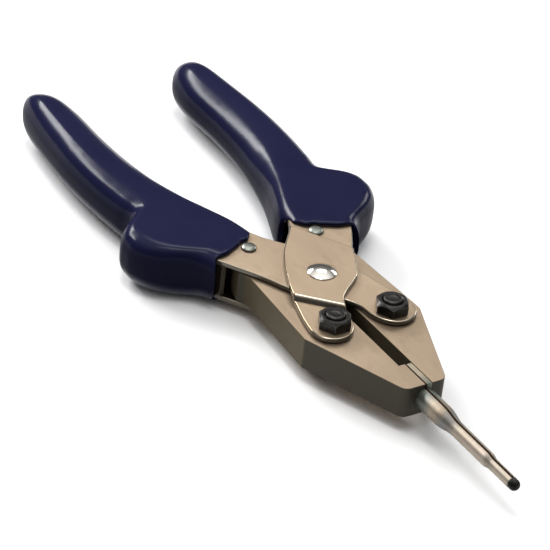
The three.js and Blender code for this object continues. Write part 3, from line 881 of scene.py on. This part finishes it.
def grip_ring(x, inner, outer):
    """Section of the grip across x, fading to a dome at the handle's end."""
    boxy = min(max((x - BOXY_FROM) / (BOXY_AT - BOXY_FROM), 0), 1)
    boxy *= boxy * (3 - 2 * boxy)
    fade = min(1, (x - GRIP_OUTER_SIDE[0][0]) / DOME_LENGTH)
    half = GRIP_HALF * (1 - (1 - fade) ** DOME_POWER) ** (1 / DOME_POWER)
    low, high = height_at(inner, x), min(height_at(outer, x), GRIP_HIGH.y - 0.05)
    inner_shoulder = min((high - low) * 0.6, between(REAR_SHOULDERS[0], FRONT_SHOULDERS[0], boxy))
    outer_shoulder = min(high - low - inner_shoulder, between(REAR_SHOULDERS[1], FRONT_SHOULDERS[1], boxy))
    power = 2 / between(REAR_POWER, FRONT_POWER, boxy)
    ring = []
    for i in range(GRIP_SIDES):
        angle = 2 * math.pi * (i + 0.5) / GRIP_SIDES
        c, s = math.cos(angle), math.sin(angle)
        reach = abs(c) ** power
        y = high - outer_shoulder * (1 - reach) if c > 0 else low + inner_shoulder * (1 - reach)
        ring.append((x, y, math.copysign(half * abs(s) ** power, s)))
    return ring


def grip_body(name):
    inner = smooth_line([Vector(p) for p in GRIP_INNER_SIDE], 12)
    outer = smooth_line([Vector(p) for p in GRIP_OUTER_SIDE], 12)
    rear, front = GRIP_LOW.x + 0.1, GRIP_OUTER_SIDE[-1][0]
    bm = bmesh.new()
    rings = []
    for i in range(GRIP_STATIONS + 1):
        x = rear + (front - rear) * (i / GRIP_STATIONS) ** 1.5
        rings.append([bm.verts.new(p) for p in grip_ring(x, inner, outer)])
    for low, high in zip(rings, rings[1:]):
        for i in range(GRIP_SIDES):
            j = (i + 1) % GRIP_SIDES
            bm.faces.new((low[i], low[j], high[j], high[i]))
    bm.faces.new(rings[0])
    bm.faces.new(reversed(rings[-1]))
    bmesh.ops.recalc_face_normals(bm, faces=bm.faces)
    mesh = bpy.data.meshes.new(name)
    bm.to_mesh(mesh)
    bm.free()
    return link(name, mesh)


def grown(points, distance):
    """An anticlockwise outline moved outwards."""
    moved = []
    for i, point in enumerate(points):
        way = points[(i + 1) % len(points)] - points[i - 1]
        moved.append(point + Vector((way.y, -way.x)).normalized() * distance)
    return moved


def tail_room():
    """The room that a jaw's tail sweeps in the handle as the pliers open, with a little to spare."""
    slide = JAW_SWING - SLOT_SLOPE
    open_tail = Vector(PIN_AT[:2]) - Vector((math.cos(slide), math.sin(slide))) * SLOT_TRAVEL
    reach = TAIL_RADIUS + TAIL_ROOM
    angle = math.degrees(slide)
    front = arc(PIN_AT, reach, angle - 90, angle + 90, 16)
    rear = arc(open_tail, reach, angle + 90, angle + 270, 16)
    return plate("tail_room", [front + rear], JAW_LOW.z - TAIL_ROOM, JAW_HIGH.z + TAIL_ROOM, 0.3)


def make_grip(name, flip, body, material):
    """The dip over a handle, cut out for the lever, its pin and the jaw's tail, and then softened."""
    grip = grip_body(name + "_piece")
    handle = [p for p in grown(LEVER_PLAN, GRIP_GAP) if p.x < -10 and p.y > -6]
    top = INNER_LEVER_TOP + GRIP_GAP
    pocket = plate("pocket", [handle], -top, top, 0.3)
    ahead = [Vector(p) for p in (*GRIP_FRONT, (2 * FAR, 26), (2 * FAR, -20))]
    mouth = plate("mouth", [ahead], -FAR, FAR, 0.01)
    pin_room = plate("pin_room", [circle(PIN_AT, PIN_ROOM)], -FAR, FAR, 0.01)
    cut(grip, pocket, mouth, pin_room, tail_room())
    remesh = grip.modifiers.new("remesh", "REMESH")
    remesh.mode = "VOXEL"
    remesh.voxel_size = VOXEL
    soften = grip.modifiers.new("soften", "SMOOTH")
    soften.factor = 0.5
    soften.iterations = SOFTEN
    baked(grip)
    if flip:
        transformed(grip, FLIP_Y)
    return finished(grip, body, "grip_vinyl", material, name, sharp=60)


# ---------------------------------------------------------------- stage


FLOOR_HALF = 3
LIGHT_DISTANCE = 1.2


def make_floor():
    bm = bmesh.new()
    bmesh.ops.create_grid(bm, x_segments=1, y_segments=1, size=FLOOR_HALF)
    mesh = bpy.data.meshes.new("floor")
    bm.to_mesh(mesh)
    bm.free()
    floor = link("floor", mesh)
    floor.data.materials.append(floor_paper())


def soft_light(name, direction, size, watts):
    data = bpy.data.lights.new(name, "AREA")
    data.shape = "RECTANGLE"
    data.size, data.size_y = size
    data.energy = watts
    lamp = bpy.data.objects.new(name, data)
    way = Vector(direction).normalized()
    lamp.location = PIVOT + way * LIGHT_DISTANCE
    lamp.rotation_euler = way.to_track_quat("Z", "Y").to_euler()
    bpy.context.scene.collection.objects.link(lamp)


# The studio ceiling: the sine of the height above the horizon, and the brightness there.
SKY = [(0.0, 0.10), (0.45, 0.16), (0.62, 0.30), (0.78, 0.8), (0.92, 1.3), (1.0, 1.6)]


def make_world():
    """A dim horizon under a bright, even studio ceiling."""
    world = bpy.data.worlds.new("studio")
    world.use_nodes = True
    nodes, links = world.node_tree.nodes, world.node_tree.links
    place = nodes.new("ShaderNodeTexCoord").outputs["Generated"]
    split = nodes.new("ShaderNodeSeparateXYZ")
    links.new(place, split.inputs[0])
    ramp = nodes.new("ShaderNodeValToRGB")
    links.new(split.outputs["Z"], ramp.inputs["Fac"])
    stops = ramp.color_ramp.elements
    while len(stops) < len(SKY):
        stops.new(0.5)
    for stop, (position, grey) in zip(stops, SKY):
        stop.position, stop.color = position, (grey, grey, grey, 1)
    links.new(ramp.outputs["Color"], nodes["Background"].inputs["Color"])
    nodes["Background"].inputs["Strength"].default_value = 1.0
    bpy.context.scene.world = world


def make_lights():
    make_world()
    soft_light("key", (-0.79, -0.21, 0.57), (0.8, 0.17), 13.0)
    soft_light("overhead", (0.0, -0.1, 1.0), (0.5, 0.3), 2.8)
    soft_light("far_side", (-0.29, 0.87, 0.40), (0.5, 0.2), 2.0)
    soft_light("back", (-0.50, 0.36, 0.79), (0.5, 0.28), 2.4)


# ---------------------------------------------------------------- the object

make_camera()
make_floor()
make_lights()
bpy.context.scene.view_settings.view_transform = "Standard"

# The side and bevel colours below are painted shade and highlights, set by the way the faces look.
sheet_metal = plated_steel(
    "plated_sheet", tone=0.91, bevel_shading_front=(0.50, 0.43, 0.33), edge_rough=0.16,
    side_shade_rear=(0.09, 0.078, 0.058), side_shade_front=(0.13, 0.115, 0.09), channel_shade=0.93,
)
jaw_metal = plated_steel(
    "plated_jaw", tone=0.82, bevel_shading_front=(0.13, 0.105, 0.075), edge_rough=0.60,
    side_shade_rear=(0.084, 0.063, 0.030), side_shade_front=(0.038, 0.032, 0.020), channel_shade=0.0,
)
tip_metal = tip_steel()
oxide = black_oxide("bolt_oxide", (0.020, 0.019, 0.018), (0.052, 0.049, 0.046), 0.30)
nose_black = black_oxide("nose_black", (0.004, 0.004, 0.004), (0.010, 0.010, 0.009), 0.42)
rivet_metal = polished_steel()
pin_metal = pin_steel()
bush_metal = bronze()
vinyl = navy_vinyl()

make_lever("inner_lever", False, True, INNER, sheet_metal)
make_lever("outer_lever", True, False, OUTER, sheet_metal)
for jaw_side in ("left", "right"):
    make_jaw(jaw_side, jaw_metal)
    make_tip(jaw_side, tip_metal)
    make_nose(jaw_side, nose_black)
    make_jaw_fasteners(jaw_side, oxide, bush_metal)
make_guide_pin("outer_guide_pin", (PIN_AT.x, PIN_AT.y), OUTER, pin_metal)
make_guide_pin("inner_guide_pin", (PIN_AT.x, -PIN_AT.y), INNER, pin_metal)
make_pivot_rivet("upper_pivot_rivet", False, rivet_metal)
make_pivot_rivet("lower_pivot_rivet", True, rivet_metal)
make_grip("outer_grip", False, OUTER, vinyl)
make_grip("inner_grip", True, INNER, vinyl)
